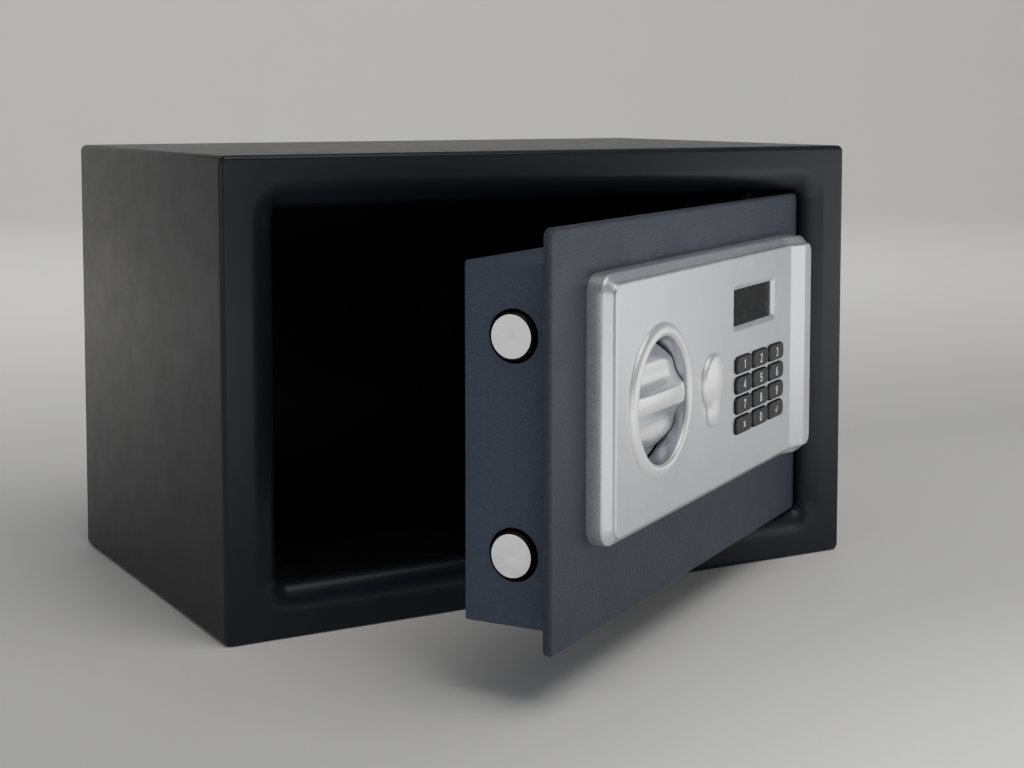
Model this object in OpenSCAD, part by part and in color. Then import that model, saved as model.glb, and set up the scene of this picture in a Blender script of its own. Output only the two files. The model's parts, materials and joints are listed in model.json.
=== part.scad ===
// In-room safe: a steel cabinet with a rolled mouth, and a door that carries an electronic lock.
// Millimetres. +Z up, the mouth faces -Y, and the origin is the middle of the underside.

/* [Body] */
// Outside width of the cabinet
body_w = 320; // [316:1:340]
// Outside depth of the cabinet, without the door
body_d = 195; // [185:1:240]
// Outside height of the cabinet
body_h = 200; // [198:0.5:203]
// Thickness of the cabinet's sheet steel
sheet_t = 1.5; // [1.2:0.1:2]
// Radius of the cabinet's long edges
body_edge_r = 3; // [2.5:0.5:5]

/* [Mouth] */
// Flat face left of the mouth
rim_left = 16; // [14:0.5:18]
// Flat face right of the mouth, on the hinge side
rim_right = 15; // [14:0.5:16]
// Flat face above and below the mouth
rim_end = 13.5; // [13:0.5:14]
// Radius of the rolled lip
roll_r = 8.5; // [7.5:0.5:8.5]
// Depth of the lip behind the face
lip_depth = 10.5; // [9:0.5:11]
// Corner radius of the clear opening
mouth_corner_r = 4; // [3:0.5:6]

/* [Anchors] */
// Radius of the anchor bolt holes
anchor_r = 5; // [4:0.5:6]
// Distance between the two anchor holes of a wall
anchor_pitch = 180; // [120:5:220]

/* [Door] */
// How far the door stands open
open_angle = 32.5; // [0:0.5:95]
// Thickness of the door plate
plate_t = 3.5; // [3:0.1:3.8]
// Gap between the lip and the door plate, above and below
plate_gap = 0.8; // [0.8:0.1:1.5]
// Distance from the hinge axis to the plate's right edge
hinge_edge = 7.5; // [6:0.5:8]
// Distance from the door's front to the hinge axis behind it
hinge_depth = 7.5; // [7.5:0.1:8]
// Width of the box behind the door plate
pan_w = 237; // [230:1:238]
// Depth of the box behind the door plate
pan_d = 36.5; // [36:0.5:40]

/* [Bolts] */
// Radius of a locking bolt
bolt_r = 9; // [8:0.1:9.2]
// Height of the lower bolt
bolt_low = 56.5; // [55:0.5:58]
// Distance between the two bolts
bolt_pitch = 80.5; // [78:0.5:82]
// Radius of the circle that the knob's drive pin runs on
crank_r = 9; // [8.5:0.1:9]

/* [Panel] */
// Width of the control panel
panel_w = 222; // [220:1:223]
// Height of the control panel
panel_h = 102; // [101:0.5:103]
// Thickness of the control panel at its flat face
panel_t = 10.6; // [10.6:0.1:11]
// Radius of the knob's recess
knob_r = 25; // [24:0.5:26]
// Distance between key columns
key_pitch_x = 20.7; // [20.5:0.1:21.5]
// Distance between key rows
key_pitch_y = 8.75; // [8.6:0.05:9.2]
// Travel of a key
key_travel = 0.8; // [0.5:0.1:0.9]

/* [Hidden] */
$fn = 64;

front_y = -body_d / 2;
e = 0.01;

// Clear opening inside the rolled lip, as x and z values.
mouth_l = -body_w / 2 + rim_left + roll_r;
mouth_r = body_w / 2 - rim_right - roll_r;
mouth_b = rim_end + roll_r;
mouth_t = body_h - rim_end - roll_r;

// Door plate, closed, seen from the front.
plate_l = mouth_l + 1.5;
plate_r = mouth_r - 4;
plate_b = mouth_b + plate_gap;
plate_top = mouth_t - plate_gap;
plate_corner_r = 3.5;

// Hinge axis, a vertical line behind the door plate.
hinge_x = plate_r - hinge_edge;
hinge_y = front_y + hinge_depth;
hinge_nose_r = 3.7;
hinge_pin_r = 2;
strap_t = 3;
washer_t = 1;
running_gap = 0.05;

// Box behind the door plate. Heights out of the door are along +z of the door's own space.
pan_l = plate_l + 9;
pan_r = pan_l + pan_w;
pan_b = plate_b + 6.7;
pan_t = plate_top - 13.4;
pan_back = -plate_t - pan_d;
pan_post_in = 8;
cover_out = pan_back + 0.3;
cover_in = cover_out + sheet_t;

// Bolts and the carriage that carries them.
bolt_out = -19.7;
bolt_gap = 0.9;
bolt_l = 32;
bolt_tip = pan_l - 2;
bolt_heights = [bolt_low, bolt_low + bolt_pitch];
tab_x = bolt_tip + bolt_l;
carriage_out = -10;
carriage_t = 2.5;
crank_throw = 2 * crank_r * sin(45);
guide_r = 2.5;
guide_gap = 0.3;
guide_x = tab_x + 9;

// Knob, with its axis along the door's normal.
knob_x = -59.5;
knob_z = 106;
shaft_r = 4;
bush_r = 5.5;
drive_pin_r = 2.5;
drive_gap = 0.35;
cam_out = -6.5;
cam_t = 2.5;

// Solenoid that blocks the carriage.
plunger_x = -38;
plunger_r = 2.5;
plunger_tip = knob_z + 11;
plunger_travel = 4;
solenoid_b = knob_z + 20;
collar_b = plunger_tip + 2.2;
collar_t = 1.5;

// Lock for the emergency key, and the cover that hides it.
lock_x = -5;
lock_z = 105.5;
lock_r = 8;
plug_r = 5.5;
cover_arm = 12.5;

// Control panel, a moulded housing on the front of the door plate.
panel_l = -105;
panel_b = 56.5;
panel_corner_r = 8;
panel_side = 6.2;
panel_bevel = 4.2;
panel_wall = 2.5;
panel_face_in = panel_t - panel_wall;
panel_boss_in = 10;
rim_rise = 3.2;
rim_foot = panel_l + panel_w - 23;
rim_crest = panel_l + panel_w - 13;

// Keys and display, seen from the front.
key_w = 19.2;
key_h = 7.4;
key_corner_r = 3.2;
key_slack = 0.3;
key_top = panel_t + 1.3;
key_cx = 51;
key_cz = 95.2;
display_x = 45;
display_z = 133;
display_w = 48.5;
display_h = 15.8;
board_out = 3.5;
board_t = 1.6;

// Battery box in the right half of the door.
cell_r = 7.1;
cell_l = 49;
cell_pitch = 16.2;
box_l = 44;
box_w = 54.5;
box_b = 71;
box_h = 4 * cell_pitch + 3;
box_in = -18;
box_out = -37;
reset_x = 0;
reset_z = 60;

// ---- Helpers -------------------------------------------------------------------------------

// Space of the front face: x right, y up, z out of the face.
module face_space() {
  translate([0, front_y, 0]) rotate([90, 0, 0]) children();
}

// Turns closed-door shapes about the hinge axis to where the door stands.
module swing() {
  translate([hinge_x, hinge_y, 0]) rotate([0, 0, open_angle]) translate([-hinge_x, -hinge_y, 0]) children();
}

// Space of the door's front face.
module door_space() {
  swing() face_space() children();
}

// Rectangle from corner to corner with round corners.
module round_rect(l, b, r, t, corner) {
  translate([l + corner, b]) square([r - l - 2 * corner, t - b]);
  translate([l, b + corner]) square([r - l, t - b - 2 * corner]);
  for (x = [l + corner, r - corner], y = [b + corner, t - corner]) translate([x, y]) circle(r = corner);
}

// Slab of a flat outline, from one height to another.
module slab(low, high) {
  translate([0, 0, low]) linear_extrude(height = high - low) children();
}

// Straight round bar along z.
module rod(x, y, r, low, high) {
  translate([x, y, low]) cylinder(r = r, h = high - low);
}

// Horizontal slot outline with round ends, from one centre to another.
module slot_outline(x0, x1, y, r) {
  translate([x0, y - r]) square([x1 - x0, 2 * r]);
  translate([x0, y]) circle(r = r);
  translate([x1, y]) circle(r = r);
}

// ---- Cabinet -------------------------------------------------------------------------------

module outer_shell() {
  color("#434246") difference() {
    face_space() slab(-body_d, -sheet_t) difference() {
      round_rect(-body_w / 2, 0, body_w / 2, body_h, body_edge_r);
      round_rect(-body_w / 2 + sheet_t, sheet_t, body_w / 2 - sheet_t, body_h - sheet_t,
        body_edge_r - sheet_t);
    }
    for (x = [-1, 1]) translate([x * anchor_pitch / 2, 0, -1]) cylinder(r = anchor_r, h = sheet_t + 2);
  }
}

module back_panel() {
  color("#3c3c40") face_space() difference() {
    slab(-body_d, -body_d + sheet_t)
      round_rect(-body_w / 2 + sheet_t, sheet_t, body_w / 2 - sheet_t, body_h - sheet_t,
        body_edge_r - sheet_t);
    for (x = [-1, 1]) rod(x * anchor_pitch / 2, body_h / 2, anchor_r, -body_d - 1, -body_d + sheet_t + 1);
  }
}

// Section of the rolled lip: x is the distance from a mouth corner's centre, y is out of the face.
module lip_section() {
  translate([mouth_corner_r + roll_r, -roll_r]) intersection() {
    difference() {
      circle(r = roll_r);
      circle(r = roll_r - sheet_t);
    }
    translate([-roll_r, 0]) square(roll_r);
  }
  translate([mouth_corner_r, -lip_depth]) square([sheet_t, lip_depth - roll_r]);
}

module front_frame() {
  wide = mouth_r - mouth_l - 2 * mouth_corner_r;
  high = mouth_t - mouth_b - 2 * mouth_corner_r;
  cx = (mouth_l + mouth_r) / 2;
  cy = (mouth_b + mouth_t) / 2;
  color("#2a2c31") face_space() {
    slab(-sheet_t, 0) difference() {
      round_rect(-body_w / 2, 0, body_w / 2, body_h, body_edge_r);
      round_rect(mouth_l - roll_r, mouth_b - roll_r, mouth_r + roll_r, mouth_t + roll_r,
        mouth_corner_r + roll_r);
    }
    for (i = [0 : 3]) {
      half_x = (i % 2 == 0 ? wide : high) / 2;
      half_y = (i % 2 == 0 ? high : wide) / 2;
      translate([cx, cy, 0]) rotate([0, 0, 90 * i]) translate([half_x, half_y, 0]) {
        rotate_extrude(angle = 90) lip_section();
        rotate([90, 0, 0]) linear_extrude(height = 2 * half_y) lip_section();
      }
    }
  }
}

module floor_mat() {
  color("#1b1b1d") difference() {
    translate([-152, front_y + 14, sheet_t]) cube([304, body_d - 20, 2.5]);
    for (x = [-1, 1]) translate([x * anchor_pitch / 2, 0, 0]) cylinder(r = anchor_r + 4, h = 10);
    translate([hinge_x - 12, front_y + 13, 0]) cube([20, 42, 10]);
  }
}

// Outline of a hinge strap in plan: a round nose on the axis, and an arm running back from it.
module strap_outline(arm_l) {
  difference() {
    union() {
      translate([hinge_x, hinge_y]) circle(r = hinge_nose_r);
      translate([hinge_x - hinge_nose_r, hinge_y]) square([hinge_nose_r + 2, arm_l]);
    }
    translate([hinge_x, hinge_y]) circle(r = hinge_pin_r);
  }
}

upper_strap_b = pan_t + strap_t + washer_t + 0.1;
lower_strap_t = pan_b - strap_t - washer_t - 0.1;

module frame_hinge_upper() {
  color("#2a2c31") {
    translate([0, 0, upper_strap_b]) linear_extrude(height = strap_t) strap_outline(22);
    translate([hinge_x - hinge_nose_r, hinge_y + 19, upper_strap_b])
      cube([hinge_nose_r + 2, 3, body_h - sheet_t - upper_strap_b]);
    translate([hinge_x - 12, hinge_y + 19, body_h - sheet_t - strap_t]) cube([20, 22, strap_t]);
  }
}

module frame_hinge_lower() {
  color("#2a2c31") {
    translate([0, 0, lower_strap_t - strap_t]) linear_extrude(height = strap_t) strap_outline(22);
    translate([hinge_x - hinge_nose_r, hinge_y + 19, sheet_t])
      cube([hinge_nose_r + 2, 3, lower_strap_t - sheet_t]);
    translate([hinge_x - 10, hinge_y + 19, sheet_t]) cube([16, 22, strap_t]);
  }
}

module hinge_pin_upper() {
  color("silver") translate([hinge_x, hinge_y, pan_t + 0.1]) {
    cylinder(r = hinge_pin_r, h = upper_strap_b + strap_t - pan_t);
    translate([0, 0, upper_strap_b + strap_t - pan_t - 0.1]) cylinder(r = hinge_pin_r + 1.2, h = 1.2);
  }
}

module hinge_pin_lower() {
  color("silver") translate([hinge_x, hinge_y, lower_strap_t - strap_t])
    cylinder(r = hinge_pin_r, h = pan_b - 0.1 - lower_strap_t + strap_t);
}

module hinge_washers() {
  color("gold") for (z = [upper_strap_b - washer_t - 0.05, lower_strap_t + 0.05])
    translate([hinge_x, hinge_y, z]) difference() {
      cylinder(r = hinge_nose_r - 0.1, h = washer_t);
      translate([0, 0, -1]) cylinder(r = hinge_pin_r + running_gap, h = washer_t + 2);
    }
}

// ---- Door structure ------------------------------------------------------------------------

module door_hinge(z) {
  color("#4d535f") swing() translate([0, 0, z]) linear_extrude(height = strap_t) difference() {
    union() {
      translate([hinge_x, hinge_y]) circle(r = hinge_nose_r);
      translate([pan_r - 10, hinge_y - hinge_nose_r]) square([hinge_x - pan_r + 10, 2 * hinge_nose_r]);
      translate([pan_r - 22, hinge_y - hinge_nose_r]) square([20, 18]);
    }
    translate([hinge_x, hinge_y]) circle(r = hinge_pin_r + running_gap);
  }
}

module door_hinge_upper() {
  door_hinge(pan_t);
}

module door_hinge_lower() {
  door_hinge(pan_b - strap_t);
}

panel_boss_x = [panel_l + panel_boss_in, panel_l + panel_w - panel_boss_in];
panel_boss_y = [panel_b + panel_boss_in, panel_b + panel_h - panel_boss_in];

module door_plate() {
  color("#4d535f") door_space() difference() {
    slab(-plate_t, 0) round_rect(plate_l, plate_b, plate_r, plate_top, plate_corner_r);
    rod(knob_x, knob_z, bush_r, -plate_t - 1, 1);
    rod(lock_x, lock_z, lock_r, -plate_t - 1, 1);
    rod(display_x, key_cz + 22, 6, -plate_t - 1, 1);
    for (x = panel_boss_x, y = panel_boss_y) rod(x, y, 1.8, -plate_t - 1, 1);
  }
}

module door_pan() {
  color("#4d535f") door_space() difference() {
    slab(pan_back, -plate_t) difference() {
      round_rect(pan_l, pan_b, pan_r, pan_t, 2);
      round_rect(pan_l + sheet_t, pan_b + sheet_t, pan_r - sheet_t, pan_t - sheet_t, 0.5);
    }
    for (y = bolt_heights) translate([pan_l - 1, y, bolt_out]) rotate([0, 90, 0])
      cylinder(r = bolt_r + bolt_gap, h = sheet_t + 2);
  }
}

post_x = [pan_l + pan_post_in, pan_r - pan_post_in];
post_y = [pan_b + pan_post_in, pan_t - pan_post_in];

// Tapped posts that stand on the door plate and carry the inner cover.
module cover_posts() {
  color("silver") door_space() for (x = post_x, y = post_y) difference() {
    rod(x, y, 4, cover_in, -plate_t);
    rod(x, y, 1.5, cover_in - 1, cover_in + 8);
  }
}

module inner_cover() {
  color("#3a3e47") door_space() difference() {
    slab(cover_out, cover_in)
      round_rect(pan_l + sheet_t + 0.3, pan_b + sheet_t + 0.3, pan_r - sheet_t - 0.3,
        pan_t - sheet_t - 0.3, 1);
    for (x = post_x, y = post_y)
      rod(x, y, 1.7, cover_out - 1, cover_in + 1);
    slab(cover_out - 1, cover_in + 1)
      round_rect(box_l + 2, box_b + 2, box_l + box_w - 2, box_b + box_h - 2, 1);
    rod(reset_x, reset_z, 2.6, cover_out - 1, cover_in + 1);
  }
}

module cover_screws() {
  color("silver") door_space() for (x = post_x, y = post_y) difference() {
    union() {
      rod(x, y, 1.5, cover_out, cover_in + 7);
      rod(x, y, 3.2, cover_out - 1.8, cover_out);
    }
    translate([x - 2, y - 0.4, cover_out - 2]) cube([4, 0.8, 1]);
    translate([x - 0.4, y - 2, cover_out - 2]) cube([0.8, 4, 1]);
  }
}

// ---- Control panel -------------------------------------------------------------------------

// Bevelled upper tier of the panel: straight prisms between cones at the corners.
module bevel_tier(l, b, r, t, corner, inset, low, rise) {
  for (x = [l + corner, r - corner], y = [b + corner, t - corner])
    translate([x, y, low]) cylinder(r1 = corner, r2 = corner - inset, h = rise);
  translate([l + corner, 0, 0]) rotate([90, 0, 90]) linear_extrude(height = r - l - 2 * corner)
    polygon([[b, low], [t, low], [t - inset, low + rise], [b + inset, low + rise]]);
  translate([0, t - corner, 0]) rotate([90, 0, 0]) linear_extrude(height = t - b - 2 * corner)
    polygon([[l, low], [r, low], [r - inset, low + rise], [l + inset, low + rise]]);
}

module key_holes() {
  for (i = [0 : 11]) translate(key_centre(i))
    round_rect(-key_w / 2 - key_slack, -key_h / 2 - key_slack, key_w / 2 + key_slack,
      key_h / 2 + key_slack, key_corner_r);
}

// Recess for the display: four sloping sides down to the window.
module display_recess() {
  flare = 2;
  l = display_x - display_w / 2;
  b = display_z - display_h / 2;
  low = panel_t - 1.4;
  top = panel_t + e;
  intersection() {
    translate([l - 5, 0, 0]) rotate([90, 0, 90]) linear_extrude(height = display_w + 10)
      polygon([[b, low], [b + display_h, low], [b + display_h + flare, top], [b - flare, top]]);
    translate([0, b + display_h + 5, 0]) rotate([90, 0, 0]) linear_extrude(height = display_h + 10)
      polygon([[l, low], [l + display_w, low], [l + display_w + flare, top], [l - flare, top]]);
  }
}

// Section of the raised rim at the panel's right end: a ramp, a crest and a steep end.
module raised_rim_section() {
  r = panel_l + panel_w;
  crest = panel_t + rim_rise;
  polygon([[rim_foot, panel_t - 0.5], [rim_foot + 0.5, panel_t], [rim_crest, crest], [r - 4.9, crest],
    [r - 4, crest - 0.7], [r - 3, panel_side + 3], [r - 5, panel_side + 2.5], [rim_crest, panel_t - 1]]);
}

module control_panel() {
  l = panel_l;
  r = panel_l + panel_w;
  b = panel_b;
  t = panel_b + panel_h;
  color("#b9bec8") door_space() {
    difference() {
      union() {
        slab(0, panel_side) round_rect(l, b, r, t, panel_corner_r);
        bevel_tier(l, b, r, t, panel_corner_r, panel_bevel, panel_side - e, panel_t - panel_side + e);
        translate([0, t - panel_bevel - 1, 0]) rotate([90, 0, 0])
          linear_extrude(height = panel_h - 2 * panel_bevel - 2) raised_rim_section();
      }
      slab(-1, panel_side - 0.7) round_rect(l + panel_wall, b + panel_wall, r - panel_wall, t - panel_wall,
        panel_corner_r - panel_wall);
      slab(-1, panel_face_in) round_rect(l + 5, b + 5, r - 5, t - 5, 3);
      slab(0, panel_t + 1) key_holes();
      display_recess();
      slab(panel_face_in - 1, panel_t + 1)
        round_rect(display_x - display_w / 2, display_z - display_h / 2, display_x + display_w / 2,
          display_z + display_h / 2, 1);
      rod(knob_x, knob_z, knob_r + 1.5, 0, panel_t + 1);
      rod(lock_x, lock_z, lock_r, 0, panel_t + 1);
      rod(lock_x, lock_z - cover_arm, 1.5, 0, panel_t + 1);
    }
    for (x = panel_boss_x, y = panel_boss_y) difference() {
      rod(x, y, 4, 0, panel_face_in + e);
      rod(x, y, 1.3, -1, panel_side - 1.5);
    }
  }
}

module panel_screws() {
  color("silver") door_space() for (x = panel_boss_x, y = panel_boss_y) {
    rod(x, y, 1.3, -plate_t, panel_side - 2);
    rod(x, y, 3, -plate_t - 1.8, -plate_t);
  }
}

// Raised ring round the knob, with a sleeve that lines its recess.
module knob_ring() {
  color("#d4d8de") door_space() translate([knob_x, knob_z, 0]) rotate_extrude()
    polygon([[knob_r, 3], [knob_r + 1.5, 3], [knob_r + 1.5, panel_t], [knob_r + 5.5, panel_t],
      [knob_r + 4.8, panel_t + 1.4], [knob_r + 4, panel_t + 2], [knob_r + 0.8, panel_t + 2],
      [knob_r, panel_t + 1.4]]);
}

module knob_bush() {
  color("ivory") door_space() translate([knob_x, knob_z, 0]) difference() {
    union() {
      translate([0, 0, -plate_t - 1]) cylinder(r = bush_r, h = plate_t + 1);
      cylinder(r = bush_r + 2, h = 1.5);
    }
    translate([0, 0, -plate_t - 2]) cylinder(r = shaft_r + running_gap, h = plate_t + 5);
  }
}

// Dial with a grip across it. The grip's section is a crest between two hollow flanks.
module knob() {
  floor_out = 4.6;
  crest = panel_t + 0.9;
  color("#d4d8de") door_space() translate([knob_x, knob_z, 0]) difference() {
    union() {
      translate([0, 0, 2.6]) cylinder(r = knob_r - 0.4, h = floor_out - 2.6 + 1.2);
      translate([0, 0, 1.6]) cylinder(r = 8, h = 1.1);
      intersection() {
        translate([0, 0, floor_out]) cylinder(r = knob_r - 0.4, h = 10);
        translate([knob_r, 0, 0]) rotate([90, 0, -90]) linear_extrude(height = 2 * knob_r) difference() {
          polygon([[-15.5, floor_out], [15.5, floor_out], [3.5, crest], [-3.5, crest]]);
          for (side = [-1, 1]) translate([side * 12.5, floor_out + 11.2]) circle(r = 10);
        }
      }
    }
    translate([0, 0, 0]) cylinder(r = shaft_r - e, h = floor_out);
  }
}

module knob_shaft() {
  color("silver") door_space() rod(knob_x, knob_z, shaft_r - e, cam_out - cam_t, 4.6);
}

module knob_cam() {
  color("silver") door_space() translate([knob_x, knob_z, 0]) {
    difference() {
      rod(0, 0, crank_r + 3.5, cam_out - cam_t, cam_out);
      rod(0, 0, shaft_r - e, cam_out - cam_t - 1, cam_out + 1);
    }
    rotate([0, 0, 45]) rod(crank_r, 0, drive_pin_r, carriage_out - carriage_t - 0.8, cam_out - cam_t + e);
  }
}

// ---- Bolt work -----------------------------------------------------------------------------

// Height of the carriage's sloping edge under the solenoid plunger.
function ramp_y(x) = plunger_tip - 0.3 - plunger_travel / crank_throw * (x - plunger_x + plunger_r);

module bolt_carriage() {
  low = carriage_out - carriage_t;
  strip_r = tab_x + 29;
  arm_b = knob_z - 10;
  arm_r = plunger_x + 18;
  block_r = plunger_x - 6.5;
  pin_x = knob_x + crank_r * cos(45);
  pin_y = knob_z + crank_r * sin(45);
  slot_r = drive_pin_r + drive_gap;
  slot_play = 4.6;
  color("#c8c4a8") door_space() {
    difference() {
      slab(low, carriage_out) {
        translate([tab_x, bolt_low - 12]) square([29, bolt_pitch + 24]);
        polygon([[strip_r - e, arm_b], [arm_r, arm_b], [arm_r, ramp_y(arm_r)], [block_r, ramp_y(block_r)],
          [block_r, knob_z + 18], [strip_r - e, knob_z + 18]]);
      }
      slab(low - 1, carriage_out + 1) {
        for (y = [knob_z - 22, knob_z + 22])
          slot_outline(guide_x - guide_gap, guide_x + guide_gap + crank_throw, y, guide_r + guide_gap);
        translate([pin_x - slot_r, pin_y - 1]) square([2 * slot_r, slot_play]);
        for (y = [pin_y - 1, pin_y - 1 + slot_play]) translate([pin_x, y]) circle(r = slot_r);
      }
    }
    for (y = bolt_heights) difference() {
      translate([tab_x, y - 9.5, bolt_out - 8]) cube([2.5, 19, low - bolt_out + 8 + e]);
      translate([tab_x - 1, y, bolt_out]) rotate([0, 90, 0]) cylinder(r = 3, h = 5);
    }
  }
}

module bolt(y) {
  color("#dcdfe2") door_space() translate([bolt_tip, y, bolt_out]) rotate([0, 90, 0]) {
    cylinder(r1 = bolt_r - 0.8, r2 = bolt_r, h = 0.8);
    translate([0, 0, 0.8]) cylinder(r = bolt_r, h = bolt_l - 0.8);
    translate([0, 0, bolt_l - e]) cylinder(r = 3, h = 4);
  }
}

module bolt_upper() {
  bolt(bolt_heights[1]);
}

module bolt_lower() {
  bolt(bolt_heights[0]);
}

// Shouldered studs on the door plate that the carriage slides on.
module carriage_guides() {
  low = carriage_out - carriage_t - 0.3;
  color("silver") door_space() for (y = [knob_z - 22, knob_z + 22]) {
    rod(guide_x, y, guide_r + 2, carriage_out + 0.2, -plate_t);
    rod(guide_x, y, guide_r, low, carriage_out + 0.2 + e);
    rod(guide_x, y, guide_r + 2.5, low - 1.5, low + e);
  }
}

module solenoid_body() {
  mid = carriage_out - carriage_t / 2;
  color("#8a6f3c") door_space() difference() {
    translate([plunger_x - 9, solenoid_b, mid - 7.5]) cube([18, 26, -plate_t - mid + 7.5]);
    translate([plunger_x, solenoid_b - 1, mid]) rotate([-90, 0, 0]) cylinder(r = plunger_r + 0.1, h = 21);
  }
}

module solenoid_plunger() {
  mid = carriage_out - carriage_t / 2;
  color("silver") door_space() translate([plunger_x, 0, mid]) rotate([-90, 0, 0]) {
    translate([0, 0, plunger_tip]) cylinder(r = plunger_r, h = 24);
    translate([0, 0, collar_b]) cylinder(r = plunger_r + 1.7, h = collar_t);
  }
}

// Ring of points round a wire that follows a helix.
function wire_ring(a, coil_r, wire_r, rise, turns) =
  [for (i = [0 : 7]) let (w = 360 / 8 * i, r = coil_r + wire_r * cos(w))
    [r * cos(a), r * sin(a), rise * a / (360 * turns) + wire_r * sin(w)]];

module coil_spring(coil_r, wire_r, rise, turns) {
  steps = 16 * turns;
  rings = [for (s = [0 : steps]) wire_ring(360 * turns * s / steps, coil_r, wire_r, rise, turns)];
  points = [for (ring = rings) for (p = ring) p];
  walls = [for (s = [0 : steps - 1], i = [0 : 7])
    [8 * s + i, 8 * s + (i + 1) % 8, 8 * (s + 1) + (i + 1) % 8, 8 * (s + 1) + i]];
  start = [for (i = [7 : -1 : 0]) i];
  finish = [for (i = [0 : 7]) 8 * steps + i];
  polyhedron(points = points, faces = concat(walls, [start, finish]));
}

module plunger_spring() {
  mid = carriage_out - carriage_t / 2;
  wire_r = 0.4;
  low = collar_b + collar_t + wire_r + 0.05;
  rise = solenoid_b - low - wire_r - 0.05;
  color("silver") door_space() translate([plunger_x, low, mid]) rotate([-90, 0, 0])
    coil_spring(plunger_r + 0.8, wire_r, rise, 4);
}

// ---- Emergency lock ------------------------------------------------------------------------

module lock_cylinder() {
  color("#c9ccd1") door_space() difference() {
    rod(lock_x, lock_z, lock_r - e, -21, panel_t - 1);
    rod(lock_x, lock_z, plug_r + running_gap, -22, panel_t);
  }
}

module lock_nut() {
  color("silver") door_space() difference() {
    translate([lock_x, lock_z, -plate_t - 3]) cylinder(r = 11, h = 3, $fn = 6);
    rod(lock_x, lock_z, lock_r - e, -plate_t - 4, -plate_t + 1);
  }
}

module lock_plug() {
  color("#b89b5a") door_space() difference() {
    rod(lock_x, lock_z, plug_r, -22.5, panel_t - 0.8);
    translate([lock_x - 0.7, lock_z - 4, panel_t - 8]) cube([1.4, 8, 9]);
  }
}

module lock_cam() {
  color("silver") door_space() slab(-24.5, -22.5) {
    translate([lock_x, lock_z]) circle(r = plug_r);
    translate([lock_x - 3, lock_z]) square([6, 16]);
  }
}

// Cap over the key hole: two low domes, the small one on the pivot.
module key_cover() {
  base = panel_t + 0.1;
  color("#e0e3e8") door_space() {
    difference() {
      union() {
        translate([lock_x, lock_z, base]) cylinder(r1 = 12, r2 = 11.2, h = 1.6);
        translate([lock_x, lock_z, base + 1.6 - e]) cylinder(r1 = 11.2, r2 = 7, h = 1.5);
        translate([lock_x, lock_z - cover_arm, base]) cylinder(r1 = 6.6, r2 = 6, h = 1.6);
        translate([lock_x, lock_z - cover_arm, base + 1.6 - e]) cylinder(r1 = 6, r2 = 3, h = 1.2);
      }
      rod(lock_x, lock_z - cover_arm, 1.55, base - 1, base + 2);
    }
  }
}

module cover_pivot() {
  color("silver") door_space() {
    rod(lock_x, lock_z - cover_arm, 1.49, panel_face_in - 0.8, panel_t + 1.9);
    rod(lock_x, lock_z - cover_arm, 2.6, panel_face_in - 1.6, panel_face_in - 0.1);
  }
}

// ---- Keypad and display --------------------------------------------------------------------

// Centre of key i, counted from the top left, row by row.
function key_centre(i) =
  [key_cx + (i % 3 - 1) * key_pitch_x, key_cz + (1.5 - floor(i / 3)) * key_pitch_y];

module display_window() {
  color("#202226") door_space() slab(panel_face_in, panel_face_in + 1.1)
    round_rect(display_x - display_w / 2 + 0.05, display_z - display_h / 2 + 0.05,
      display_x + display_w / 2 - 0.05, display_z + display_h / 2 - 0.05, 0.9);
}

module display_module() {
  color("#5b6a5c") door_space() difference() {
    slab(board_out + board_t, panel_face_in - 0.1)
      translate([display_x - 27, display_z - 11]) square([54, 22]);
    slab(panel_face_in - 0.6, panel_face_in + 1)
      translate([display_x - display_w / 2 + 2, display_z - display_h / 2 + 1.5])
        square([display_w - 4, display_h - 3]);
  }
}

module circuit_board() {
  color("darkgreen") door_space() slab(board_out, board_out + board_t) difference() {
    translate([14, 68]) square([82, 80]);
    for (x = [17, 93], y = [71, 145]) translate([x, y]) circle(r = 1.6);
  }
}

module keypad_mat() {
  color("#3a3a3c") door_space() slab(board_out + board_t, board_out + board_t + 1)
    round_rect(key_cx - 33, key_cz - 20, key_cx + 33, key_cz + 20, 3);
}

module key(i) {
  low = board_out + board_t + 1 + key_travel + 0.1;
  color("#2d2d30") door_space() translate(key_centre(i)) {
    slab(low, key_top) round_rect(-key_w / 2, -key_h / 2, key_w / 2, key_h / 2, key_corner_r);
    slab(low, panel_face_in - 0.2)
      round_rect(-key_w / 2 - 0.5, -key_h / 2 - 0.5, key_w / 2 + 0.5, key_h / 2 + 0.5, key_corner_r);
  }
}

// ---- Power and reset -----------------------------------------------------------------------

module battery_box() {
  color("#252528") door_space() difference() {
    translate([box_l, box_b, box_out]) cube([box_w, box_h, box_in - box_out]);
    translate([box_l + sheet_t, box_b + sheet_t, box_out - 1])
      cube([box_w - 2 * sheet_t, box_h - 2 * sheet_t, box_in - box_out - sheet_t + 1]);
  }
}

module batteries() {
  mid = (box_in + box_out - sheet_t) / 2;
  color("#3f6fa0") door_space() for (i = [0 : 3]) {
    turned = i % 2;
    x = box_l + (box_w - cell_l - 1) / 2;
    y = box_b + sheet_t + (i + 0.5) * cell_pitch;
    translate([x + turned, y, mid]) rotate([0, 90, 0]) {
      cylinder(r = cell_r, h = cell_l);
      translate([0, 0, turned ? -1 : cell_l - e]) cylinder(r = 2.8, h = 1 + e);
    }
  }
}

module battery_contacts() {
  mid = (box_in + box_out - sheet_t) / 2;
  color("silver") door_space()
    for (i = [0 : 3], x = [box_l + sheet_t, box_l + box_w - sheet_t - 0.6])
      translate([x, box_b + sheet_t + (i + 0.5) * cell_pitch - 5, mid - 5]) cube([0.6, 10, 10]);
}

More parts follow.
